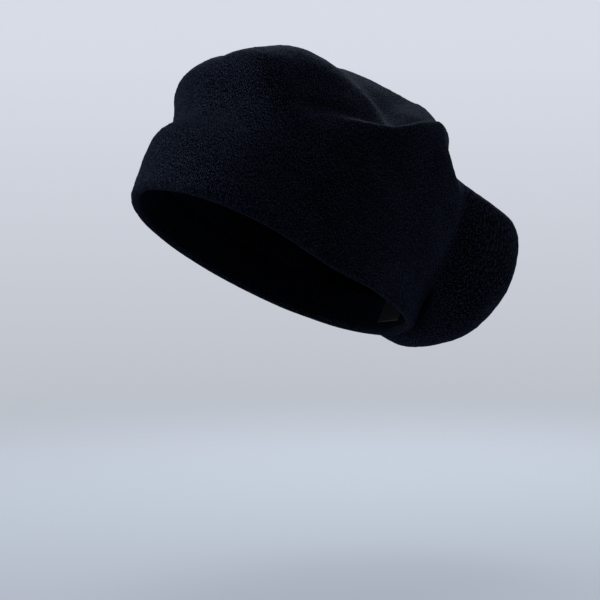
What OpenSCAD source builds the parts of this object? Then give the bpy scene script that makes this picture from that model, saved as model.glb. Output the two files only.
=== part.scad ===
// Slouchy knitted beret in the pose it takes on a head.
// The origin is the centre of the head opening, the wearer faces -Y, the wearer's left is +X.

/* [Head opening] */
// Outside length of the band from forehead to nape, mm
band_length = 208; // [200:1:216]
// Outside width of the band from ear to ear, mm
band_width = 160; // [154:1:166]
// How far the opening tips back as worn, degrees
wear_tilt = 28; // [15:1:35]
// How far the opening leans to the wearer's right, degrees
wear_lean = 6; // [0:1:10]

/* [Band] */
// Height of the doubled band, mm
band_height = 27; // [25:0.5:28]
// Thickness of one layer of knit, mm
knit = 2.4; // [2:0.1:2.6]
// Width of the elastic inside the band, mm
elastic_width = 18; // [12:1:19]
// Thickness of the elastic, mm
elastic_thickness = 1.0; // [0.8:0.1:1.2]

/* [Crown] */
// Height of the crown's centre over the opening, mm
crown_height = 155; // [140:1:155]
// Radius of the drawn-up hole at the crown's centre, mm
gather_hole = 3.2; // [2.8:0.1:3.6]
// Radius of the yarn in the seams, mm
yarn_r = 0.8; // [0.6:0.1:1]

/* [Care label] */
// Width of the blank label, mm
label_width = 24; // [16:1:26]
// Length of the blank label below its stitches, mm
label_length = 17; // [12:1:18]

/* [Detail] */
// Steps around the opening
around = 84; // [60:4:88]
// Steps from one station of the crown to the next
along = 3; // [2:1:3]

/* [Hidden] */

// Gap between two layers that lie on each other
gap = 0.2;
// Whipped stitches that hold the hem: how many, how long and how far up the crown they reach
hem_stitch_count = 72;
hem_stitch_length = 3.6;
hem_stitch_rise = 3.1;
// Half sizes of the ridge of the closing seam
seam_half_width = 2.2;
seam_half_height = 1.2;
// Drawn-up yarn at the crown's centre: thickness of its coil and radius of its knot
coil_r = 1.4 * yarn_r;
knot_r = 2.2;
// Where the label hangs: its stitched edge, behind the opening's centre and above the rim
label_y = band_length / 2 - 8.6;
label_top = 24.5;
label_thickness = 0.5;
// Pitch and length of the label's stitches, and how far they sit over its edge
label_stitch_pitch = 4;
label_stitch_length = 2.4;
label_stitch_lift = 0.75;
// The row of the table below that the closing seam follows, at the back
seam_row = 7;
// The band's size and the crown's height that the profiles below are drawn for
drawn_length = 208;
drawn_width = 160;
drawn_height = 155;
// Height of the band's top station in the profiles
band_station = 28;
// Mean radius of the last station's ring
last_radius = 18;
// A short way along the table, which gives the fabric's direction at a point
nudge = 0.02;

// The form of the knit in thirteen directions. Each row is a direction in degrees, from the
// front towards the wearer's left, and the fabric's [radius, height] at eleven stations: the rim,
// the band's top, the wall, the crown's edge, its shoulder and the top.
ROWS = [
  [0,   [[104, 0], [106, 28], [105, 43], [97, 58], [98, 74], [102, 88], [92, 105],
         [85, 125], [71, 139], [50, 151], [26, 154]]],
  [30,  [[97, -1], [98, 27], [96, 43], [92, 55], [92, 69], [97, 84], [92, 104],
         [83, 125], [60, 132], [38, 145], [20, 154]]],
  [60,  [[85, -4], [87, 24], [88, 43], [87, 53], [86, 60], [85, 68], [78, 86],
         [71, 112], [49, 117], [32, 136], [16, 153]]],
  [90,  [[80, -8], [82, 20], [83, 44], [83, 57], [83, 68], [84, 78], [82, 88],
         [69, 92], [54, 107], [37, 136], [17, 153]]],
  [120, [[85, -5], [86, 23], [88, 46], [86, 64], [85, 82], [85, 101], [80, 117],
         [67, 124], [52, 130], [36, 141], [17, 152]]],
  [146, [[95, -2], [97, 26], [101, 40], [104, 56], [105, 72], [102, 88], [91, 101],
         [68, 112], [53, 123], [36, 140], [17, 150]]],
  [161, [[101, 0], [103, 28], [108, 20], [126, 17], [144, 34], [151, 66], [140, 97],
         [81, 103], [55, 114], [35, 133], [17, 148]]],
  [182, [[104, 0], [105, 28], [108, 8], [124, 3], [147, 22], [159, 60], [150, 96],
         [92, 104], [55, 113], [34, 131], [17, 148]]],
  [206, [[98, 0], [100, 28], [104, 18], [122, 16], [141, 38], [150, 70], [134, 97],
         [84, 105], [57, 119], [35, 139], [17, 150]]],
  [240, [[85, 0], [86, 28], [90, 44], [97, 56], [106, 72], [110, 86], [98, 103],
         [81, 116], [60, 132], [39, 147], [20, 153]]],
  [270, [[80, 0], [81, 28], [86, 42], [94, 54], [103, 70], [107, 86], [97, 104],
         [84, 118], [65, 134], [44, 148], [22, 154]]],
  [300, [[85, 0], [86, 28], [88, 44], [92, 58], [99, 73], [102, 89], [93, 105],
         [78, 120], [61, 136], [42, 149], [21, 155]]],
  [330, [[97, 0], [99, 28], [98, 43], [95, 59], [99, 74], [103, 89], [90, 105],
         [80, 122], [64, 136], [44, 150], [22, 155]]]
];
// The share of the way to the crown's own centre that each station's ring is shifted
DRIFT = [0, 0, 0, 0, 0, 0, 0, 0.35, 0.6, 0.8, 0.93, 1];
// The crown's centre, slouched to the back of the head
CENTRE = [-12, 60, crown_height];

rows = len(ROWS);
stations = len(ROWS[0][1]);
// Station at which the crown's fabric ends at the gather hole
last_station = stations - gather_hole / last_radius;

function blend4(t) = [-t + 2 * t * t - t * t * t, 2 - 5 * t * t + 3 * t * t * t,
                      t + 4 * t * t - 3 * t * t * t, t * t * t - t * t] / 2;
function wrap(i) = (i + 4 * rows) % rows;
function row_angle(i) = ROWS[wrap(i)][0] + 360 * floor(i / rows);

// The width and length of the driving band against the band that the profiles are drawn for
function fit(p) = [p.x * band_width / drawn_width, p.y * band_length / drawn_length, p.z];

// The direction of a spoke, the table's row number with a fraction
function spoke_angle(u) =
  let (w = blend4(u - floor(u)))
  sum4([for (j = [0:3]) w[j] * row_angle(floor(u) - 1 + j)]);
function sum4(q) = q[0] + q[1] + q[2] + q[3];

// A spoke's point at a whole station, on the outside of the fabric
function knot(u, k) =
  k == stations ? fit(CENTRE)
  : k > stations ? 2 * fit(CENTRE) - knot(u, stations - 1)
  : k < 0 ? 2 * knot(u, 0) - knot(u, 1)
  : let (w = blend4(u - floor(u)), i = floor(u), a = spoke_angle(u),
         q = sum4([for (j = [0:3]) w[j] * ROWS[wrap(i - 1 + j)][1][k]]),
         rise = k < 2 ? 1 : (crown_height - band_station) / (drawn_height - band_station),
         base = k < 2 ? 0 : band_station)
    fit([DRIFT[k] * CENTRE.x + q[0] * sin(a), DRIFT[k] * CENTRE.y - q[0] * cos(a),
         base + (q[1] - base) * rise]);

// The fabric's outside along one spoke, at each of a list of stations
function spoke(u, at) =
  let (knots = [for (k = [-1:stations + 1]) knot(u, k)])
  [for (v = at) let (k = min(floor(v), stations - 1), w = blend4(v - k))
    sum4([for (j = [0:3]) w[j] * knots[k + j]])];

// The same net pushed in by a depth along the fabric's own normal
function skin(at, depths) =
  let (n = around, m = len(at),
       net = [for (i = [0:n - 1]) spoke(rows * i / n, at)],
       ahead = [for (i = [0:n - 1]) spoke(rows * i / n, [for (v = at) v + nudge])])
  [for (i = [0:n - 1]) [for (j = [0:m - 1])
    let (east = net[(i + 1) % n][j] - net[(i + n - 1) % n][j],
         north = ahead[i][j] - net[i][j],
         normal = cross(east, north))
    net[i][j] - depths[j] * normal / norm(normal)]];

// Closes a net of cross-sections, one closed section a step, into a solid ring
module ring_solid(net) {
  n = len(net);
  m = len(net[0]);
  polyhedron(
    points = [for (section = net) each section],
    faces = [for (i = [0:n - 1], j = [0:m - 1])
      let (a = i * m + j, b = ((i + 1) % n) * m + j,
           c = ((i + 1) % n) * m + (j + 1) % m, d = i * m + (j + 1) % m)
      each [[a, c, b], [a, d, c]]],
    convexity = 10);
}

// Turns a piece from the opening's own plane to the way it is worn
module worn() {
  rotate([0, -wear_lean, 0]) rotate([-wear_tilt, 0, 0]) children();
}

// A band layer: heights over the rim and depths from the outside, walked around the section
module band_layer(section) {
  worn() ring_solid(skin([for (p = section) p[1] / band_station], [for (p = section) p[0]]));
}

elastic_depth = knit + gap;
facing_depth = elastic_depth + elastic_thickness + gap;
band_depth = facing_depth + knit;
fold_r = band_depth / 2;

module crown() {
  // The fabric starts just over the band, and ends in a short step at the gather hole
  low = 1.05;
  outside = [for (k = [0:along * (stations - 1) - 1]) 1 + k / along];
  at = concat([low], [for (v = outside) if (v > low) v], [last_station - 0.35, last_station]);
  back = [for (i = [len(at) - 1:-1:0]) at[i]];
  section = concat([for (v = at) [v, 0]], [for (v = back) [v, knit]]);
  color([0.030, 0.032, 0.042])
    worn() ring_solid(skin([for (s = section) s[0]], [for (s = section) s[1]]));
}

module band_outer() {
  top = band_height - 0.6;
  color([0.028, 0.030, 0.040])
    band_layer(concat(
      [[0, top], [0, top * 0.66], [0, top * 0.36], [0, fold_r]],
      [for (a = [30:30:150]) [fold_r - fold_r * cos(a), fold_r - fold_r * sin(a)]],
      [[band_depth, fold_r], [band_depth, fold_r + 1], [knit, fold_r + 1],
       [knit, top * 0.66], [knit, top]]));
}

module band_facing() {
  low = fold_r + 1 + gap;
  top = band_height - 1.4;
  color([0.026, 0.028, 0.036])
    band_layer([[facing_depth, top], [facing_depth, (low + top) / 2], [facing_depth, low],
                [band_depth, low], [band_depth, (low + top) / 2], [band_depth, top]]);
}

module band_elastic() {
  low = fold_r + 1.6;
  inner = elastic_depth + elastic_thickness;
  color([0.09, 0.09, 0.10])
    band_layer([[elastic_depth, low + elastic_width], [elastic_depth, low], [inner, low],
                [inner, low + elastic_width]]);
}

// The chain that links the crown's first row to the band
module band_join_seam() {
  middle = band_height + 0.9;
  color([0.020, 0.020, 0.026])
    band_layer([for (a = [0:45:315]) [knit / 2 - (knit / 2 + 0.5) * cos(a), middle + yarn_r * sin(a)]]);
}

// Short slanted stitches that hold the turned-in edge, one every few loops
module hem_stitches() {
  low = band_height - 0.9;
  heights = [low, low + hem_stitch_rise];
  net = skin([for (h = heights) h / band_station], [band_depth, band_depth]);
  color([0.020, 0.020, 0.026])
    worn()
      for (i = [0:hem_stitch_count - 1]) {
        k = round(i * around / hem_stitch_count) % around;
        foot = net[k][0];
        head = net[(k + 1) % around][1];
        way = (head - foot) / norm(head - foot);
        translate(foot)
          rotate([0, acos(way.z), atan2(way.y, way.x)])
            cylinder(h = hem_stitch_length, r = yarn_r / 2, $fn = 16);
      }
}

// The bulky inside seam that closes the knit at the back
module crown_back_seam() {
  at = [for (k = [0:2 * (stations - 2)]) 1.25 + k / 2];
  line = spoke(seam_row, at);
  ahead = spoke(seam_row, [for (v = at) v + nudge]);
  side = spoke(seam_row + nudge, at);
  sides = 8;
  net = [for (j = [0:len(at) - 1])
    let (north = (ahead[j] - line[j]) / norm(ahead[j] - line[j]),
         east = (side[j] - line[j]) / norm(side[j] - line[j]),
         normal = cross(east, north) / norm(cross(east, north)),
         across = cross(north, normal),
         middle = line[j] - (knit + gap + seam_half_height) * normal)
    [for (a = [0:360 / sides:359])
      middle + seam_half_width * cos(a) * across + seam_half_height * sin(a) * normal]];
  rings = len(net);
  color([0.020, 0.020, 0.026])
    worn()
      polyhedron(
        points = [for (section = net) each section],
        faces = concat(
          [for (i = [0:rings - 2], k = [0:sides - 1])
            let (a = i * sides + k, b = a + sides,
                 d = i * sides + (k + 1) % sides, c = d + sides)
            each [[a, b, c], [a, c, d]]],
          [[for (k = [0:sides - 1]) k], [for (k = [sides - 1:-1:0]) (rings - 1) * sides + k]]),
        convexity = 6);
}

// The drawn-up ring of yarn and its knot in the hole at the crown's centre
module top_gather() {
  color([0.020, 0.020, 0.026])
    worn()
      translate(fit(CENTRE) - [0, 0, knit + gap + 2 * yarn_r]) {
        rotate_extrude($fn = 48)
          translate([gather_hole + 2 * yarn_r, 0]) circle(r = coil_r, $fn = 24);
        translate([0, 0, -1]) cylinder(h = 2, r = gather_hole + 1, $fn = 32);
        translate([0, 0, -1.6]) sphere(r = knot_r, $fn = 24);
      }
}

module care_label() {
  color([0.10, 0.10, 0.11])
    worn()
      translate([-label_width / 2, label_y - label_thickness, label_top - label_length])
        cube([label_width, label_thickness, label_length]);
}

// The row of stitches that the label hangs from
module label_stitches() {
  color([0.020, 0.020, 0.026])
    worn()
      for (x = [2:label_stitch_pitch:label_width - 2])
        translate([x - (label_width + label_stitch_length) / 2, label_y - label_thickness / 2,
                   label_top + label_stitch_lift + yarn_r / 2])
          rotate([0, 90, 0]) cylinder(h = label_stitch_length, r = yarn_r / 2, $fn = 16);
}

crown();
band_outer();
band_facing();
band_elastic();
band_join_seam();
hem_stitches();
crown_back_seam();
top_gather();
care_label();
label_stitches();
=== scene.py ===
"""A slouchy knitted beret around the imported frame: the knit, its band, seams, elastic and label.

Lengths are millimetres in the opening's own plane (x to the wearer's left, -y to the front, z into
the crown) until worn() turns them to the way the hat sits and makes them metres.
"""
import math

import bpy
import numpy as np
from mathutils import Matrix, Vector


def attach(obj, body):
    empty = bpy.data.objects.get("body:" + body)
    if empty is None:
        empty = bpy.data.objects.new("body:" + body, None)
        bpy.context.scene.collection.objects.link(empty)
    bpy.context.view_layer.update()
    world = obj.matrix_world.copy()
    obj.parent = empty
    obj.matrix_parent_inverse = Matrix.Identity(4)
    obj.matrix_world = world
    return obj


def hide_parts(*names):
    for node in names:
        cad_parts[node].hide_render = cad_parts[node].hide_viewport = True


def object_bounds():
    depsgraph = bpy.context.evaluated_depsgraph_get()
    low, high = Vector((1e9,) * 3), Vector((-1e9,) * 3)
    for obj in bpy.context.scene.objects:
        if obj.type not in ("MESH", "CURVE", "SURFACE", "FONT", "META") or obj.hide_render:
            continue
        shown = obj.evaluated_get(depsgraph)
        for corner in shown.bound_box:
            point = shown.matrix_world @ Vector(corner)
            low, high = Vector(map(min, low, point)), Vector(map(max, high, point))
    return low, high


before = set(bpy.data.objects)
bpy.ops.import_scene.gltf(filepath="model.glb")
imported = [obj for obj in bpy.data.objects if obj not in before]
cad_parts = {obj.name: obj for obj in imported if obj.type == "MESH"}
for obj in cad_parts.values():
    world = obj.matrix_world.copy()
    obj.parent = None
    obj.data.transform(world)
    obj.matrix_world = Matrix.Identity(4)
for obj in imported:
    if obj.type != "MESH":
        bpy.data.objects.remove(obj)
CAD_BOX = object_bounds()

# ---------------------------------------------------------------- the design's own values
WEAR_TILT = 28.0
WEAR_LEAN = 6.0
BAND_HEIGHT = 27.0
BAND_STATION = 28.0  # height of the band's top station in ROWS
KNIT = 2.4  # thickness of one layer of knit
GAP = 0.2  # between the layers of the band
ELASTIC_WIDTH = 18.0
ELASTIC_THICKNESS = 1.0
GATHER_HOLE = 3.2  # radius of the hole that the gather draws shut
LABEL_WIDTH = 24.0
LABEL_LENGTH = 17.0
LABEL_Y = 95.4  # the label's back face, on the inside of the band
LABEL_TOP = 24.5
SEAM_ROW = 7  # the row of ROWS that the back seam follows
WALES = 256  # columns of stitches round the hat
COURSE_PITCH = 1.9  # height of one row of stitches
# Depths from the band's outside to its elastic, its inner layer and the head
ELASTIC_DEPTH = KNIT + GAP
FACING_DEPTH = ELASTIC_DEPTH + ELASTIC_THICKNESS + GAP
BAND_DEPTH = FACING_DEPTH + KNIT
FOLD_R = BAND_DEPTH / 2  # radius of the rolled rim
JOIN_YARN_R = 0.42
HEM_YARN_R = 0.4
SEAM_YARN_R = 0.62
LABEL_YARN_R = 0.2
INSIDE = 1000  # added to the arc length on inner faces, so that their fibres differ

# A direction in degrees, from the front towards the wearer's left, and the fabric's
# [radius, height] at eleven stations: the rim, the band's top, the wall, the crown's edge,
# its shoulder and the top.
ROWS = [
    [0, [[104, 0], [106, 28], [105, 43], [97, 58], [98, 74], [102, 88], [92, 105],
      [85, 125], [71, 139], [50, 151], [26, 154]]],
    [30, [[97, -1], [98, 27], [96, 43], [92, 55], [92, 69], [97, 84], [92, 104],
      [83, 125], [60, 132], [38, 145], [20, 154]]],
    [60, [[85, -4], [87, 24], [88, 43], [87, 53], [86, 60], [85, 68], [78, 86],
      [71, 112], [49, 117], [32, 136], [16, 153]]],
    [90, [[80, -8], [82, 20], [83, 44], [83, 57], [83, 68], [84, 78], [82, 88],
      [69, 92], [54, 107], [37, 136], [17, 153]]],
    [120, [[85, -5], [86, 23], [88, 46], [86, 64], [85, 82], [85, 101], [80, 117],
      [67, 124], [52, 130], [36, 141], [17, 152]]],
    [146, [[95, -2], [97, 26], [101, 40], [104, 56], [105, 72], [102, 88], [91, 101],
      [68, 112], [53, 123], [36, 140], [17, 150]]],
    [161, [[101, 0], [103, 28], [108, 20], [126, 17], [144, 34], [151, 66], [140, 97],
      [81, 103], [55, 114], [35, 133], [17, 148]]],
    [182, [[104, 0], [105, 28], [108, 8], [124, 3], [147, 22], [159, 60], [150, 96],
      [92, 104], [55, 113], [34, 131], [17, 148]]],
    [206, [[98, 0], [100, 28], [104, 18], [122, 16], [141, 38], [150, 70], [134, 97],
      [84, 105], [57, 119], [35, 139], [17, 150]]],
    [240, [[85, 0], [86, 28], [90, 44], [97, 56], [106, 72], [110, 86], [98, 103],
      [81, 116], [60, 132], [39, 147], [20, 153]]],
    [270, [[80, 0], [81, 28], [86, 42], [94, 54], [103, 70], [107, 86], [97, 104],
      [84, 118], [65, 134], [44, 148], [22, 154]]],
    [300, [[85, 0], [86, 28], [88, 44], [92, 58], [99, 73], [102, 89], [93, 105],
      [78, 120], [61, 136], [42, 149], [21, 155]]],
    [330, [[97, 0], [99, 28], [98, 43], [95, 59], [99, 74], [103, 89], [90, 105],
      [80, 122], [64, 136], [44, 150], [22, 155]]],
]
# The share of the way to the crown's own centre that each station's ring is shifted
DRIFT = [0, 0, 0, 0, 0, 0, 0, 0.35, 0.6, 0.8, 0.93]
CENTRE = (-12, 60, 155)

ANGLES = np.array([row[0] for row in ROWS], float)
PROFILES = np.array([row[1] for row in ROWS], float)
COUNT, STATIONS = PROFILES.shape[:2]
LAST_RADIUS = 18  # of the last station's ring, roughly
CROWN_START = 0.99  # the crown's first station, just below the band's top
CROWN_END = STATIONS - GATHER_HOLE / LAST_RADIUS


# ---------------------------------------------------------------- the surface
def blend4(t):
    """The four weights of a Catmull-Rom curve."""
    return (
        (-t + 2 * t * t - t**3) / 2,
        (2 - 5 * t * t + 3 * t**3) / 2,
        (t + 4 * t * t - 3 * t**3) / 2,
        (t**3 - t * t) / 2,
    )


def angle_of(u):
    """Direction in degrees of a place between the rows."""
    i = np.floor(u).astype(int)
    total = 0
    for j, w in enumerate(blend4(u - i)):
        k = i - 1 + j
        total = total + w * (ANGLES[k % COUNT] + 360 * (k // COUNT))
    return total


def surface(u, v):
    """The outside of the fabric at row places u and stations v, arrays of one shape."""
    i = np.floor(u).astype(int)
    across = blend4(u - i)
    turn = np.radians(angle_of(u))
    centre = np.array(CENTRE, float)

    def ring(k):
        q = sum(w[..., None] * PROFILES[(i - 1 + j) % COUNT, k] for j, w in enumerate(across))
        r, z = q[..., 0], q[..., 1]
        x = centre[0] * DRIFT[k] + r * np.sin(turn)
        y = centre[1] * DRIFT[k] - r * np.cos(turn)
        return np.stack([x, y, z], -1)

    rings = [ring(k) for k in range(STATIONS)]
    middle = np.broadcast_to(centre, u.shape + (3,))
    knots = [2 * rings[0] - rings[1], *rings, middle, 2 * middle - rings[-1]]
    stack = np.stack(knots)
    k = np.clip(np.floor(v).astype(int), 0, STATIONS - 1)
    out = np.zeros(u.shape + (3,))
    for j, w in enumerate(blend4(v - k)):
        picked = np.take_along_axis(stack, (k + j)[None, ..., None].repeat(3, -1), 0)[0]
        out += w[..., None] * picked
    return out


def normals(net):
    """Outward normals of a net that closes on itself along its first side."""
    east = np.roll(net, -1, 0) - np.roll(net, 1, 0)
    north = np.gradient(net, axis=1)
    n = np.cross(east, north)
    return n / (np.linalg.norm(n, axis=-1, keepdims=True) + 1e-9)


def worn(points):
    """From the opening's plane in millimetres to the frame in metres."""
    t, r = math.radians(WEAR_TILT), math.radians(WEAR_LEAN)
    tip = np.array([[1, 0, 0], [0, math.cos(t), math.sin(t)], [0, -math.sin(t), math.cos(t)]])
    lean = np.array([[math.cos(r), 0, -math.sin(r)], [0, 1, 0], [math.sin(r), 0, math.cos(r)]])
    return np.asarray(points) @ (lean @ tip).T / 1000


def waves(points, size, seed, count=10):
    """Smooth seeded noise of about -1 to 1 over 3-D points, with waves of about one size."""
    rng = np.random.default_rng(seed)
    total = 0
    for _ in range(count):
        way = rng.normal(size=3)
        way *= 2 * math.pi / size / np.linalg.norm(way) * rng.uniform(0.6, 1.6)
        total = total + np.sin(points @ way + rng.uniform(0, 2 * math.pi))
    return total / math.sqrt(count)


# ---------------------------------------------------------------- folds of the worn cloth
# Each fold is a line of points in the opening's frame, its half width and its height: a ridge,
# or a valley if negative. It fades towards both ends.
FOLDS = [
    # crease at the front of the dome
    ([(-24, -76, 116), (8, -84, 110), (18, -94, 90)], 6, -2.2),
    # roll of cloth on the near edge of the crown
    ([(64, -64, 62), (74, -42, 67), (80, -21, 76), (83, 0, 86), (80, 20, 102), (70, 40, 116)], 9, 2.2),
    # the hollow behind that roll
    ([(62, -62, 76), (69, -41, 82), (73, -18, 90), (72, 8, 98)], 6, -2.0),
    # pull lines from the near edge down the wall
    ([(84, -6, 74), (90, 30, 60), (84, 54, 44)], 12, -2.4),
    ([(70, 50, 96), (80, 60, 72), (78, 66, 48)], 8, 1.6),
    # folds where the pouch leaves the wall
    ([(56, 86, 96), (58, 92, 70), (60, 92, 44)], 9, -4.0),
    ([(40, 128, 92), (48, 134, 60), (44, 122, 28)], 11, 2.2),
    ([(10, 150, 90), (18, 158, 58), (10, 142, 18)], 12, -2.2),
    ([(-40, 132, 88), (-52, 134, 58), (-46, 116, 26)], 10, 2.6),
    ([(-72, 92, 84), (-88, 84, 64), (-76, 66, 42)], 12, -3.0),
    # the far wall
    ([(-104, 6, 84), (-96, -20, 62), (-86, -30, 42)], 12, -2.2),
    ([(-66, -72, 92), (-74, -52, 70), (-74, -42, 46)], 10, 1.8),
    # the front wall under the dome
    ([(-40, -92, 66), (0, -96, 62), (46, -82, 60)], 9, -1.6),
    # soft rays on the top
    ([(-70, -10, 130), (-40, 20, 145), (-22, 44, 151)], 13, -2.6),
    ([(-50, 66, 136), (-34, 64, 145), (-20, 62, 151)], 8, -1.8),
]


def distance_to_line(points, line):
    """Distance of points from a polyline, and the place along it from 0 to 1."""
    line = np.array(line, float)
    best = np.full(points.shape[:-1], 1e9)
    place = np.zeros(points.shape[:-1])
    spans = len(line) - 1
    for i in range(spans):
        a, step = line[i], line[i + 1] - line[i]
        t = np.clip(((points - a) @ step) / (step @ step), 0, 1)
        d = np.linalg.norm(points - a - t[..., None] * step, axis=-1)
        place = np.where(d < best, (i + t) / spans, place)
        best = np.minimum(d, best)
    return best, place


def folded(net, v):
    """The net with its folds, soft waves and a slight lift at the band's join, along its normals."""
    n = normals(net)
    lift = np.zeros(net.shape[:-1])
    fade_start, fade_span = 0.12, 0.76  # the part of a half sine wave that a fold fades by
    for line, width, height in FOLDS:
        d, place = distance_to_line(net, line)
        fade = np.sin(math.pi * np.clip(fade_start + fade_span * place, 0, 1))
        lift += height * np.exp(-((d / width) ** 2)) * fade
    held_to, free_over = 1.2, 1.5  # stations: the band holds the cloth up to the first
    free = np.clip((v - held_to) / free_over, 0, 1)
    lift += free * (0.6 * waves(net, 62, 5) + 0.14 * waves(net, 24, 6))
    lift += 0.08 * waves(net, 6, 7) + 0.10 * waves(net, 3.6, 8)
    join, join_width, join_lift = 0.98, 0.16, 0.12
    lift += join_lift * np.exp(-(((v - join) / join_width) ** 2))
    return net + lift[..., None] * n


# ---------------------------------------------------------------- meshes
def make_object(name, points, faces, knit=None, smooth=True):
    """A mesh object, with the knit's coordinates as an attribute for its material."""
    mesh = bpy.data.meshes.new(name)
    mesh.from_pydata(np.asarray(points).reshape(-1, 3).tolist(), [], faces)
    mesh.validate()
    if smooth:
        mesh.shade_smooth()
    if knit is not None:
        layer = mesh.attributes.new("knit", "FLOAT_VECTOR", "POINT")
        layer.data.foreach_set("vector", np.asarray(knit, np.float32).ravel())
    obj = bpy.data.objects.new(name, mesh)
    bpy.context.scene.collection.objects.link(obj)
    return obj


def ring_faces(n, m):
    """Quads of a net that closes both ways, facing out when the section runs up the outside."""
    i, j = np.meshgrid(np.arange(n), np.arange(m), indexing="ij")
    a, b = i * m + j, ((i + 1) % n) * m + j
    c, d = ((i + 1) % n) * m + (j + 1) % m, i * m + (j + 1) % m
    return np.stack([a, b, c, d], -1).reshape(-1, 4).tolist()


def stitch_coordinates(u, net):
    """Wale and course numbers of the knit and the arc length: even below, in wedges on the crown."""
    wedges = 8
    wedge = (angle_of(u) - ANGLES[0]) / 360 * wedges
    middle = np.floor(wedge) + 0.5
    around = np.linalg.norm(np.roll(net, -1, 0) - net, axis=-1).sum(0)
    edge = np.argmax(around)
    wales = np.full(around.shape, WALES, float)
    wales[edge:] = WALES * around[edge:] / around[edge]
    x = middle * WALES / wedges + (wedge - middle) * wales[None, :] / wedges
    along = np.linalg.norm(np.gradient(net, axis=1), axis=-1)
    y = np.cumsum(along.mean(0)) / COURSE_PITCH
    return np.stack([x, np.broadcast_to(y[None, :], x.shape), np.cumsum(along, 1)], -1)


def knit_piece(name, net, coords, material, slot, node, **sheet):
    """A sheet of the hat's cloth that stands for one CAD node."""
    piece = make_object(name, worn(net), ring_faces(*net.shape[:2]), coords)
    piece.data.materials.append(MATERIALS[material])
    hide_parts(node)
    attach(piece, "hat")


def crown_piece():
    """The crown's panel: its outside from the band to the gather, and its inside back again."""
    n, m = 380, 122
    edge_step = 0.006  # the narrow first step that keeps the lower edge crisp
    u, v = np.meshgrid(
        np.linspace(0, COUNT, n, endpoint=False),
        np.append(CROWN_START, np.linspace(CROWN_START + edge_step, CROWN_END, m - 1)),
        indexing="ij",
    )
    net = folded(surface(u, v), v)
    inside = net - KNIT * normals(net)
    knit = stitch_coordinates(u, net)
    knit[..., 1] += BAND_HEIGHT / COURSE_PITCH
    both = np.concatenate([net, inside[:, ::-1]], 1)
    inner = knit[:, ::-1].copy()
    inner[..., 2] += INSIDE
    coords = np.concatenate([knit, inner], 1)
    knit_piece(
        "crown_knit", both, coords, "knit", "knit", "crown",
        flat=(0.74, 0.23), area=0.108, held="draped", rests_on=["band_knit"],
    )


def band_net(section, n, relief=None):
    """A band layer: the section is a list of (depth from the outside, height over the rim)."""
    sec = np.array(section, float)
    u, v = np.meshgrid(
        np.linspace(0, COUNT, n, endpoint=False), sec[:, 1] / BAND_STATION, indexing="ij"
    )
    base = surface(u, v)
    ahead = surface(u, v + 0.02)
    east = np.roll(base, -1, 0) - np.roll(base, 1, 0)
    normal = np.cross(east, ahead - base)
    normal /= np.linalg.norm(normal, axis=-1, keepdims=True)
    depth = np.broadcast_to(sec[:, 0], u.shape).copy()
    if relief is not None:
        depth += relief(base, sec)
    return base - depth[..., None] * normal


def band_coordinates(section, n, inner=False):
    """Wale and course numbers and arc length round a band layer's section."""
    sec = np.array(section, float)
    step = np.linalg.norm(np.diff(sec, axis=0, prepend=sec[:1]), axis=1)
    y = np.cumsum(step) / COURSE_PITCH
    x = np.arange(n)[:, None] / n * WALES
    z = np.broadcast_to(y * COURSE_PITCH + (INSIDE if inner else 0), (n, len(sec)))
    return np.stack([np.broadcast_to(x, z.shape), np.broadcast_to(y, z.shape), z], -1)


def band_piece():
    """The band's outer layer with its rolled rim, and a little of the turned-in edge."""
    n = 420
    top = BAND_HEIGHT + 0.1
    outer = [(0, h) for h in [*np.linspace(FOLD_R, top - 0.2, 17), top]]
    turns = np.radians(range(165, 0, -15))
    rim = [(FOLD_R - FOLD_R * math.cos(a), FOLD_R - FOLD_R * math.sin(a)) for a in turns]
    inner = [(KNIT, h) for h in np.linspace(top, FOLD_R + 1, 9)]
    hook = [(KNIT + 0.6, FOLD_R + 1), (BAND_DEPTH - 0.6, FOLD_R + 1), (BAND_DEPTH, FOLD_R + 0.4)]
    section = [*outer, *inner, *hook, *rim]

    def relief(base, sec):
        height = sec[:, 1][None, :]
        skin = (sec[:, 0] < 0.01)[None, :]  # the outside only
        roll_lift, roll_height, roll_width = 0.15, 25.5, 3.6
        roll = roll_lift * np.exp(-(((height - roll_height) / roll_width) ** 2))
        rim_lift, rim_reach, rim_top = 0.45, 5, 4
        rim_wave = np.exp(-((height / rim_reach) ** 2)) * rim_lift * waves(base, 30, 12)
        soft = 0.10 * waves(base, 8, 13) + 0.07 * waves(base, 3.4, 14)
        return -(roll * skin + rim_wave + soft * (skin | (height < rim_top)))

    knit_piece(
        "band_knit", band_net(section, n, relief), band_coordinates(section, n),
        "knit", "knit", "band_outer",
        flat=(0.585, 0.036), held="stretched", rests_on=["band_facing_knit"],
    )


def facing_piece():
    """The band's inner layer, a flat ring of knit with rounded edges."""
    n = 420
    low, top = FOLD_R + 1 + GAP, BAND_HEIGHT - 1.4
    lip = 0.5
    outer = [(FACING_DEPTH, h) for h in np.linspace(low + lip, top - lip, 9)]
    inner = [(BAND_DEPTH, h) for h in np.linspace(top - lip, low + lip, 11)]
    section = [
        (FACING_DEPTH + lip, low), *outer, (FACING_DEPTH + lip, top),
        (BAND_DEPTH - lip, top), *inner, (BAND_DEPTH - lip, low),
    ]

    def relief(base, sec):
        deep = (sec[:, 0] > BAND_DEPTH - 0.1)[None, :]
        return deep * (0.12 * waves(base, 7, 21) + 0.08 * waves(base, 3, 22))

    knit_piece(
        "band_facing_knit", band_net(section, n, relief), band_coordinates(section, n, inner=True),
        "facing", "knit_facing", "band_facing",
        flat=(0.56, 0.0195), held="stretched", rests_on=["band_knit"],
    )


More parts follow.
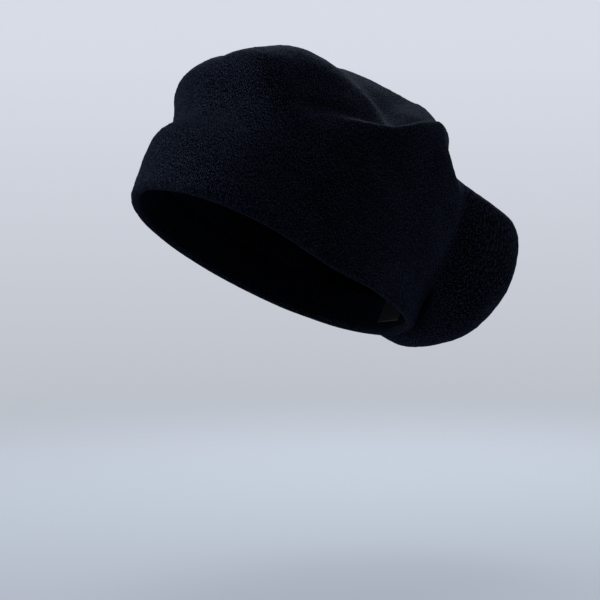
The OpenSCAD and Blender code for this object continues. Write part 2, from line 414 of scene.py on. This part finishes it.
def elastic_piece():
    """The flat elastic between the layers, ribbed along its length."""
    n, ribs = 300, 6
    low = FOLD_R + 1.6
    rib_height, inset = 0.14, 0.15
    near, far = ELASTIC_DEPTH + inset, ELASTIC_DEPTH + ELASTIC_THICKNESS - inset
    heights = np.linspace(0, 1, 4 * ribs + 1)
    bulge = rib_height * np.cos(heights * ribs * 2 * math.pi)
    outer = [(near + b, low + h * ELASTIC_WIDTH) for h, b in zip(heights, bulge)]
    inner = [(far - b, low + h * ELASTIC_WIDTH) for h, b in zip(heights[::-1], bulge[::-1])]
    section = [*outer, *inner]
    knit_piece(
        "elastic_tape", band_net(section, n), band_coordinates(section, n),
        "elastic", "elastic", "band_elastic",
        flat=(0.57, 0.018), held="stretched", rests_on=["band_facing_knit"],
    )


def tube(line, radius, sides=8, closed=False, twist=0.0, lobes=0, depth=0.0):
    """A tube along a polyline in millimetres: points and faces. Lobes make it a twisted yarn."""
    line = np.array(line, float)
    m = len(line)
    if closed:
        ahead = np.roll(line, -1, 0) - np.roll(line, 1, 0)
    else:
        ahead = np.gradient(line, axis=0)
    ahead /= np.linalg.norm(ahead, axis=1, keepdims=True) + 1e-9
    side = np.cross(ahead, [0.13, 0.21, 0.97])
    side /= np.linalg.norm(side, axis=1, keepdims=True) + 1e-9
    up = np.cross(ahead, side)
    a = np.arange(sides) * 2 * math.pi / sides
    r = np.full((m, sides), radius, float)
    if lobes:
        spin = twist * np.arange(m)
        r = radius * (1 - depth * (0.5 + 0.5 * np.cos(lobes * (a[None, :] - spin[:, None]))))
    points = line[:, None] + r[..., None] * (
        np.cos(a)[None, :, None] * side[:, None] + np.sin(a)[None, :, None] * up[:, None]
    )
    faces = []
    for i in range(m if closed else m - 1):
        for k in range(sides):
            p, q = i * sides + k, ((i + 1) % m) * sides + k
            p2, q2 = i * sides + (k + 1) % sides, ((i + 1) % m) * sides + (k + 1) % sides
            faces.append((p, p2, q2, q))
    if not closed:
        faces.append(tuple(range(sides - 1, -1, -1)))
        faces.append(tuple((m - 1) * sides + k for k in range(sides)))
    return points.reshape(-1, 3), faces


def joined(name, parts, node):
    """One piece of yarn from several tubes, standing for one CAD node."""
    points, faces, start = [], [], 0
    for p, f in parts:
        points.append(p)
        faces += [tuple(i + start for i in face) for face in f]
        start += len(p)
    piece = make_object(name, worn(np.concatenate(points)), faces)
    piece.data.materials.append(MATERIALS["yarn"])
    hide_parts(node)
    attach(piece, "hat")


def band_line(depth, height, n):
    """Points round the opening at one depth and height."""
    return band_net([(depth, height), (depth, height + 1)], n)[:, 0]


def join_seam_piece():
    """The chain that links crown and band: two lines of slanted loops side by side."""
    steps = 8  # points in one loop, with a loop for each wale
    n = WALES * steps
    phase = np.arange(n) / steps * 2 * math.pi
    outer, inner = band_line(0, BAND_HEIGHT, n), band_line(KNIT, BAND_HEIGHT, n)
    up = band_line(0, BAND_HEIGHT + 1, n) - outer
    parts = []
    clear, mean_rise, swing = 0.05, 0.4, 0.35
    for turn in (0, math.pi):
        depth = KNIT / 2 + (KNIT / 2 - clear) * np.cos(phase + turn)
        rise = mean_rise + swing * np.sin(phase + turn)
        line = outer + (inner - outer) * (depth / KNIT)[:, None] + up * rise[:, None]
        parts.append(tube(line, JOIN_YARN_R, sides=6, closed=True))
    joined("join_chain", parts, "band_join_seam")


def hem_stitch_pieces():
    """Slanted whip stitches that hold the turned-in edge."""
    stitches, steps = 72, 12
    n = stitches * steps
    edge_step, head_step = 4, 9  # how far each stitch has moved on at the edge and at its head
    foot = band_line(BAND_DEPTH + 0.15, BAND_HEIGHT - 3.0, n)
    edge = band_line(BAND_DEPTH + 0.25, BAND_HEIGHT - 1.2, n)
    head = band_line(KNIT + 0.3, BAND_HEIGHT + 1.6, n)
    parts = []
    for i in range(stitches):
        k = i * steps
        a, b, c = foot[k], edge[(k + edge_step) % n], head[(k + head_step) % n]
        t = np.linspace(0, 1, 9)[:, None]
        line = (1 - t) ** 2 * a + 2 * t * (1 - t) * (2 * b - (a + c) / 2) + t**2 * c
        parts.append(tube(line, HEM_YARN_R, sides=8, twist=0.9, lobes=2, depth=0.25))
    joined("hem_whip_stitches", parts, "hem_stitches")


def crown_inside_line(u, v):
    """A line just inside the crown along one row, with its sideways and outward directions."""
    step, inward = 0.01, KNIT + 1.6  # the face and room for its folds
    places = np.stack([u - step, u, u + step])
    stations = np.stack([v, v, v])
    net = surface(places, stations)
    east = net[2] - net[0]
    north = np.gradient(net[1], axis=0)
    normal = np.cross(east, north)
    normal /= np.linalg.norm(normal, axis=1, keepdims=True)
    side = np.cross(north, normal)
    side /= np.linalg.norm(side, axis=1, keepdims=True)
    return net[1] - inward * normal, side, normal


def back_seam_piece():
    """The linked seam on the inside at the back: a bulky ridge of three plaited yarns."""
    loop_pitch, half_width, half_height, middle = 2.6, 1.3, 0.5, 1.15
    v = np.linspace(1.25, STATIONS - 0.9, 700)
    u = np.full_like(v, SEAM_ROW)
    inside, side, normal = crown_inside_line(u, v)
    step = np.linalg.norm(np.diff(inside, axis=0, prepend=inside[:1]), axis=1)
    phase = np.cumsum(step) / loop_pitch * 2 * math.pi
    parts = []
    for turn in (0, 2 * math.pi / 3, 4 * math.pi / 3):
        sway = half_width * np.cos(phase + turn)
        depth = middle + half_height * np.sin(phase + turn)
        line = inside + sway[:, None] * side - depth[:, None] * normal
        parts.append(tube(line, SEAM_YARN_R, sides=6))
    joined("back_seam_ridge", parts, "crown_back_seam")


def gather_piece():
    """The drawn-up yarn at the crown's centre: loops round the hole, a coil, a ring and a knot."""
    centre = np.array(CENTRE, float)
    yarn = dict(lobes=2, depth=0.3)
    parts = []

    def circle(r, turn, z):
        return centre + np.stack(np.broadcast_arrays(r * np.cos(turn), r * np.sin(turn), z), 1)

    a = np.linspace(0, 2 * math.pi, 120, endpoint=False)
    ring_r, ring_z = 4.6, -KNIT - 1.0
    parts.append(tube(circle(ring_r, a, ring_z), 0.75, sides=10, closed=True, twist=0.5, **yarn))
    loops, loop_reach, loop_top, loop_drop = 16, 1.9, -0.6, 1.6
    for k in range(loops):
        t = np.linspace(0, math.pi, 9)
        out, z = GATHER_HOLE + loop_reach * np.sin(t), loop_top - loop_drop * (1 - np.cos(t))
        parts.append(tube(circle(out, 2 * math.pi * k / loops, z), 0.5, sides=6))
    # the yarn's own turns shut the hole
    coil_r, coil_in, coil_turns, coil_z = 5.4, 5.2, 5, -KNIT - 0.4
    t = np.linspace(0, 1, 130)
    coil = circle(coil_r - coil_in * t, 2 * math.pi * coil_turns * t, coil_z)
    parts.append(tube(coil, 0.7, sides=8))
    knot_size, knot_z = 0.7, -2.2
    t = np.linspace(0, 2 * math.pi, 60, endpoint=False)
    x = (np.sin(t) + 2 * np.sin(2 * t)) * knot_size
    y = (np.cos(t) - 2 * np.cos(2 * t)) * knot_size
    knot = np.stack([x, y, knot_z - np.sin(3 * t) * knot_size], 1)
    parts.append(tube(centre + knot, 0.7, sides=8, closed=True, twist=0.6, **yarn))
    tail_start, tail_run, tail_z, tail_drop = 1, 6, -3.0, 2.2
    for way in (1, -1):
        t = np.linspace(0, 1, 14)
        x, y = way * (tail_start + tail_run * t), way * 2.0 * np.sin(2.2 * t)
        tail = np.stack([x, y, tail_z - tail_drop * t], 1)
        parts.append(tube(centre + tail, 0.5, sides=7, twist=0.7, **yarn))
    joined("gather_knot", parts, "top_gather")


def label_pieces():
    """A blank folded loop of satin tape and the bar of stitches it turns on."""
    columns, rows_down = 33, 25
    x = np.linspace(-LABEL_WIDTH / 2, LABEL_WIDTH / 2, columns)
    down = np.linspace(0, LABEL_LENGTH, rows_down)
    grid_x, grid_d = np.meshgrid(x, down, indexing="ij")
    curl_height, curl_length = 0.06, 5.0
    hem_height, hem_reach = 0.05, 1.2
    front_y, back_y = LABEL_Y - 0.42, LABEL_Y - 0.06
    curl = curl_height * np.sin(grid_x / curl_length) * (grid_d / LABEL_LENGTH)
    hem = hem_height * np.exp(-(((LABEL_LENGTH - grid_d) / hem_reach) ** 2))
    front = np.stack([grid_x, front_y - hem + curl, LABEL_TOP - grid_d], -1)
    back = np.stack([grid_x, back_y + hem * 0.5 + curl, LABEL_TOP - grid_d], -1)
    points = np.concatenate([front.reshape(-1, 3), back.reshape(-1, 3)])
    half = columns * rows_down
    faces = []
    for i in range(columns - 1):
        for j in range(rows_down - 1):
            a = i * rows_down + j
            b = a + rows_down
            c, d = b + 1, a + 1
            faces += [(a, d, c, b), (a + half, b + half, c + half, d + half)]
    border = [i * rows_down for i in range(columns)]
    border += [(columns - 1) * rows_down + j for j in range(1, rows_down)]
    border += [i * rows_down + rows_down - 1 for i in range(columns - 2, -1, -1)]
    border += [j for j in range(rows_down - 2, 0, -1)]
    for p, q in zip(border, border[1:] + border[:1]):
        faces.append((p, q, q + half, p + half))
    label = make_object("label_tape", worn(points), faces)
    label.data.materials.append(MATERIALS["label"])
    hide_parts("care_label")
    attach(label, "label")
    stitches, margin, reach = 12, 1, 1.6
    t = np.linspace(0, math.pi, 8)
    y = LABEL_Y + 0.1 - 0.35 * np.sin(t)
    z = LABEL_TOP + 0.7 + 0.12 * np.cos(t)
    parts = []
    for k in range(stitches):
        left = -LABEL_WIDTH / 2 + margin + k * (LABEL_WIDTH - 2 * margin) / stitches
        line = np.stack([left + reach * t / math.pi, y, z], 1)
        parts.append(tube(line, LABEL_YARN_R, sides=6))
    joined("label_bar_stitches", parts, "label_stitches")


# ---------------------------------------------------------------- materials
def node_maker(material):
    """Makers of a node, of a maths node and of links in one material's tree."""
    nodes, links = material.node_tree.nodes, material.node_tree.links

    def put(kind, **values):
        node = nodes.new(kind)
        for key, value in values.items():
            if key.startswith("in_"):
                name = key[3:]
                socket = node.inputs[int(name) if name.isdigit() else name.replace("_", " ")]
                if hasattr(value, "is_output"):
                    links.new(value, socket)
                else:
                    socket.default_value = value
            else:
                setattr(node, key, value)
        return node

    def math_of(operation, *values):
        node = put("ShaderNodeMath", operation=operation)
        for socket, value in zip(node.inputs, values):
            if hasattr(value, "is_output"):
                links.new(value, socket)
            else:
                socket.default_value = value
        return node.outputs[0]

    return put, math_of, links


def new_material(name):
    """A material and its shader, with the makers of its nodes, maths and links."""
    material = bpy.data.materials.new(name)
    material.use_nodes = True
    return material, material.node_tree.nodes["Principled BSDF"], *node_maker(material)


def ramp(put, factor, stops):
    """A colour ramp with the given (place, colour) stops."""
    node = put("ShaderNodeValToRGB", in_0=factor)
    elements = node.color_ramp.elements
    while len(elements) < len(stops):
        elements.new(0.5)
    for element, (place, colour) in zip(elements, stops):
        element.position = place
        element.color = (*colour, 1)
    return node.outputs[0]


def noise(put, place, scale, detail, roughness=0.5):
    """Grey noise at a place, its scale in waves per metre for object coordinates."""
    values = dict(in_Vector=place, in_Scale=scale, in_Detail=detail, in_Roughness=roughness)
    return put("ShaderNodeTexNoise", **values).outputs[0]


def knit_material(name, deep, mid, light, stitch, fuzz, sheen):
    """Brushed knit: slanted stitch legs along the wales under a nap of short fibres, with painted shade
    between the legs.
    """
    material, shader, put, m, links = new_material(name)
    coords = put("ShaderNodeAttribute", attribute_name="knit").outputs["Vector"]
    parts = put("ShaderNodeSeparateXYZ", in_0=coords)
    place = put("ShaderNodeTexCoord").outputs["Object"]
    wander = noise(put, place, 260.0, 1.0)
    stray, lean, loop_depth, leg_shape = 0.22, 1.1, 0.22, 0.7  # of the stitches
    shift = m("MULTIPLY", m("SUBTRACT", wander, 0.5), stray)
    wale, course = m("ADD", parts.outputs[0], shift), m("ADD", parts.outputs[1], shift)
    across = m("ABSOLUTE", m("SUBTRACT", m("FRACT", wale), 0.5))
    leg = m("SINE", m("MULTIPLY", across, 2 * math.pi))
    slant = m("ADD", course, m("MULTIPLY", across, lean))
    loop = m("ADD", 0.5, m("MULTIPLY", m("SINE", m("MULTIPLY", slant, 2 * math.pi)), 0.5))
    relief = m("ADD", 1 - loop_depth, m("MULTIPLY", loop, loop_depth))
    height = m("MULTIPLY", m("POWER", m("MAXIMUM", leg, 0.0), leg_shape), relief)
    streaks_per_wale, streaks_per_mm = 5.0, 0.75
    fibre_across = m("MULTIPLY", wale, streaks_per_wale)
    fibre_along = m("MULTIPLY", parts.outputs[2], streaks_per_mm)
    hairs = put("ShaderNodeCombineXYZ", in_0=fibre_across, in_1=fibre_along).outputs[0]
    streak = noise(put, hairs, 1.0, 2.0, 0.6)
    nap = noise(put, place, 2900.0, 3.0, 0.65)
    tuft = noise(put, place, 1250.0, 2.0, 0.6)
    patch = noise(put, place, 32.0, 3.0)
    nap_share, tuft_share, streak_share = 0.25, 0.25, 0.5
    fluff = m("ADD", m("MULTIPLY", tuft, tuft_share), m("MULTIPLY", streak, streak_share))
    fibres = m("ADD", m("MULTIPLY", nap, nap_share), fluff)
    stitches = put("ShaderNodeBump", in_Strength=stitch, in_Distance=0.0007, in_Height=height)
    brushed = put("ShaderNodeBump", in_Strength=fuzz, in_Distance=0.0008, in_Height=fibres)
    links.new(stitches.outputs[0], brushed.inputs["Normal"])
    links.new(brushed.outputs[0], shader.inputs["Normal"])
    # the stitch tone is painted shade and light: darker in the valleys between the stitch legs, lighter
    # on the legs
    stitch_shade_contrast, fibre_contrast, patch_contrast, base_tone = 0.5, 13.0, 0.4, 0.30
    stitch_shade_tone = m("MULTIPLY", m("SUBTRACT", height, 0.5), stitch_shade_contrast)
    fibre_tone = m("MULTIPLY", m("SUBTRACT", fibres, 0.5), fibre_contrast)
    patch_tone = m("MULTIPLY", m("SUBTRACT", patch, 0.5), patch_contrast)
    tone = m("ADD", m("ADD", m("ADD", stitch_shade_tone, fibre_tone), base_tone), patch_tone)
    links.new(ramp(put, tone, [(0.12, deep), (0.46, mid), (0.95, light)]), shader.inputs["Base Color"])
    shader.inputs["Roughness"].default_value = 0.95
    shader.inputs["Specular IOR Level"].default_value = 0.004
    shader.inputs["Sheen Weight"].default_value = sheen
    shader.inputs["Sheen Roughness"].default_value = 0.35
    shader.inputs["Sheen Tint"].default_value = (0.46, 0.64, 1.0, 1)
    return material


def yarn_material():
    """The seams' yarn: near black and fibrous."""
    material, shader, put, m, links = new_material("seam_yarn")
    place = put("ShaderNodeTexCoord").outputs["Object"]
    fibre = noise(put, place, 2600.0, 3.0)
    bump = put("ShaderNodeBump", in_Strength=0.6, in_Distance=0.0003, in_Height=fibre)
    links.new(bump.outputs[0], shader.inputs["Normal"])
    stops = [(0.3, (0.0006, 0.0008, 0.0018)), (0.7, (0.0040, 0.0050, 0.0090))]
    links.new(ramp(put, fibre, stops), shader.inputs["Base Color"])
    shader.inputs["Roughness"].default_value = 0.85
    shader.inputs["Specular IOR Level"].default_value = 0.05
    shader.inputs["Sheen Weight"].default_value = 0.015
    return material


def elastic_material():
    """Flat elastic with fine cords across it, painted shade in the grooves between them."""
    material, shader, put, m, links = new_material("elastic")
    coords = put("ShaderNodeAttribute", attribute_name="knit").outputs["Vector"]
    parts = put("ShaderNodeSeparateXYZ", in_0=coords)
    cross = m("SINE", m("MULTIPLY", parts.outputs[0], 4 * math.pi))
    bump = put("ShaderNodeBump", in_Strength=0.7, in_Distance=0.0003, in_Height=cross)
    links.new(bump.outputs[0], shader.inputs["Normal"])
    # colour from the cords' height: painted shade in the grooves, painted light on the crests
    stops = [(0.2, (0.006, 0.006, 0.008)), (0.8, (0.022, 0.022, 0.026))]
    links.new(ramp(put, m("ADD", 0.5, m("MULTIPLY", cross, 0.4)), stops), shader.inputs["Base Color"])
    shader.inputs["Roughness"].default_value = 0.7
    return material


def label_material():
    """Blank satin tape with a fine twill, partly painted shade in the twill's grooves."""
    material, shader, put, m, links = new_material("label_tape")
    place = put("ShaderNodeTexCoord").outputs["Object"]
    wave = put("ShaderNodeTexWave", in_Vector=place, in_Scale=900.0, in_Distortion=0.6)
    wave.bands_direction = "DIAGONAL"
    twill = wave.outputs[1]
    cloud = noise(put, place, 180.0, 2.0)
    bump = put("ShaderNodeBump", in_Strength=0.35, in_Distance=0.0002, in_Height=twill)
    links.new(bump.outputs[0], shader.inputs["Normal"])
    # colour: painted shade in the twill's grooves, and random cloudy tone
    twill_shade_and_cloud = m("ADD", m("MULTIPLY", twill, 0.35), m("MULTIPLY", cloud, 0.6))
    stops = [(0.2, (0.002, 0.002, 0.003)), (0.8, (0.006, 0.006, 0.009))]
    links.new(ramp(put, twill_shade_and_cloud, stops), shader.inputs["Base Color"])
    shader.inputs["Roughness"].default_value = 0.45
    shader.inputs["Specular IOR Level"].default_value = 0.25
    shader.inputs["Sheen Weight"].default_value = 0.03
    return material


# ---------------------------------------------------------------- camera, floor and light
CAMERA_AZIMUTH = 60.0
CAMERA_ELEVATION = 2.0
CAMERA_DISTANCE = 1.0
VIEW_WIDTH = 0.390  # metres across the picture at the opening's centre
AIM = (0.0182, -0.0221)  # the picture's middle from the opening's centre, to the right and up


def add_camera():
    """The camera, on the wearer's left and a little to the front."""
    a, e = math.radians(CAMERA_AZIMUTH), math.radians(CAMERA_ELEVATION)
    back = np.array([math.sin(a) * math.cos(e), -math.cos(a) * math.cos(e), math.sin(e)])
    right = np.array([math.cos(a), math.sin(a), 0.0])
    up = np.cross(back, right)
    data = bpy.data.cameras.new("camera")
    data.sensor_width = 36.0
    data.lens = 36.0 * CAMERA_DISTANCE / VIEW_WIDTH
    camera = bpy.data.objects.new("camera", data)
    camera.location = AIM[0] * right + AIM[1] * up + CAMERA_DISTANCE * back
    camera.rotation_euler = (math.pi / 2 - e, 0, a)
    bpy.context.scene.collection.objects.link(camera)
    bpy.context.scene.camera = camera


def add_floor():
    """A pale floor well under the hat, which fades into the backdrop so that no horizon shows."""
    drop, rings, sides = 0.16, (0.0, 0.5, 1.0, 2.0, 3.2), 64
    low = CAD_BOX[0][2] - drop
    points = [(0, 0, low)]
    faces = []
    for radius in rings[1:]:
        points += [
            (radius * math.cos(2 * math.pi * k / sides), radius * math.sin(2 * math.pi * k / sides), low)
            for k in range(sides)
        ]
    for k in range(sides):
        j = (k + 1) % sides
        faces.append((0, 1 + k, 1 + j))
        for i in range(len(rings) - 2):
            p, q = 1 + i * sides, 1 + (i + 1) * sides
            faces.append((p + k, q + k, q + j, p + j))
    floor = make_object("floor", points, faces, smooth=False)
    material, shader, put, m, links = new_material("floor")
    shader.inputs["Base Color"].default_value = (0.245, 0.25, 0.275, 1)
    shader.inputs["Roughness"].default_value = 0.9
    shader.inputs["Specular IOR Level"].default_value = 0.1
    place = put("ShaderNodeTexCoord").outputs["Object"]
    parts = put("ShaderNodeSeparateXYZ", in_0=place)
    square = m("ADD", m("POWER", parts.outputs[0], 2.0), m("POWER", parts.outputs[1], 2.0))
    solid_to, gone_from = 0.25, 1.5  # metres from the middle
    fade = put("ShaderNodeMapRange", interpolation_type="SMOOTHSTEP")
    links.new(m("SQRT", square), fade.inputs["Value"])
    fade.inputs["From Min"].default_value = solid_to
    fade.inputs["From Max"].default_value = gone_from
    fade.inputs["To Min"].default_value = 1.0
    fade.inputs["To Max"].default_value = 0.0
    links.new(fade.outputs[0], shader.inputs["Alpha"])
    floor.data.materials.append(material)


def add_area_light(name, place, aim, size, power, colour=(1, 1, 1)):
    """A round area light that looks at a point."""
    data = bpy.data.lights.new(name, "AREA")
    data.shape = "DISK"
    data.size = size
    data.energy = power
    data.color = colour
    light = bpy.data.objects.new(name, data)
    light.location = place
    way = np.array(aim, float) - np.array(place, float)
    yaw = math.atan2(way[0], -way[1])
    pitch = math.acos(-way[2] / np.linalg.norm(way))
    light.rotation_euler = (pitch, 0, yaw + math.pi)
    bpy.context.scene.collection.objects.link(light)


def add_lights():
    """A pale backdrop, the key light from behind on the wearer's right, and three weaker lights."""
    world = bpy.data.worlds.new("world")
    world.use_nodes = True
    put, m, links = node_maker(world)
    shade = world.node_tree.nodes["Background"]
    way = put("ShaderNodeTexCoord").outputs["Generated"]
    axes = put("ShaderNodeSeparateXYZ", in_0=way).outputs
    height = axes[2]
    # the backdrop lights from the front and the wearer's right, and little from the camera's side
    left, behind = 0.90, 0.43  # the way that the dimming is centred on
    strength, offset, most = 1.4, 0.1, 0.96
    near = m("ADD", m("MULTIPLY", axes[0], left), m("MULTIPLY", axes[1], behind))
    shade_share = m("ADD", m("MULTIPLY", near, strength), offset)
    shade_share = m("MINIMUM", m("MAXIMUM", shade_share, 0.0), most)
    dim = m("SUBTRACT", 1.0, shade_share)
    stops = [
        (0.0, (0.30, 0.31, 0.35)),
        (0.42, (0.46, 0.49, 0.54)),
        (0.56, (0.68, 0.71, 0.79)),
        (1.0, (0.85, 0.87, 0.92)),
    ]
    links.new(ramp(put, m("ADD", 0.5, m("MULTIPLY", height, 0.5)), stops), shade.inputs[0])
    links.new(dim, shade.inputs[1])
    bpy.context.scene.world = world
    bpy.context.scene.view_settings.view_transform = "Standard"
    middle = (0, 0.03, 0.05)
    add_area_light("key", (-0.95, 0.9, 1.05), middle, 0.5, 42, (0.84, 0.95, 1.0))
    add_area_light("top", (-0.1, 0.0, 1.5), middle, 0.7, 4)
    add_area_light("front", (-1.2, -1.3, 0.8), middle, 0.6, 30, (0.88, 0.96, 1.0))
    add_area_light("rear", (0.1, 1.7, 0.2), middle, 0.5, 9, (0.80, 0.93, 1.0))


add_camera()
add_floor()
add_lights()
MATERIALS = {
    "knit": knit_material(
        "knit",
        deep=(0.0000, 0.0001, 0.0008),
        mid=(0.0006, 0.0011, 0.0038),
        light=(0.0190, 0.0235, 0.0400),
        stitch=0.4,
        fuzz=1.0,
        sheen=0.026,
    ),
    "facing": knit_material(
        "knit_facing",
        deep=(0.0003, 0.0004, 0.0010),
        mid=(0.0012, 0.0016, 0.0034),
        light=(0.0080, 0.0100, 0.0170),
        stitch=0.7,
        fuzz=0.8,
        sheen=0.030,
    ),
    "yarn": yarn_material(),
    "elastic": elastic_material(),
    "label": label_material(),
}
crown_piece()
band_piece()
facing_piece()
elastic_piece()
join_seam_piece()
hem_stitch_pieces()
back_seam_piece()
gather_piece()
label_pieces()
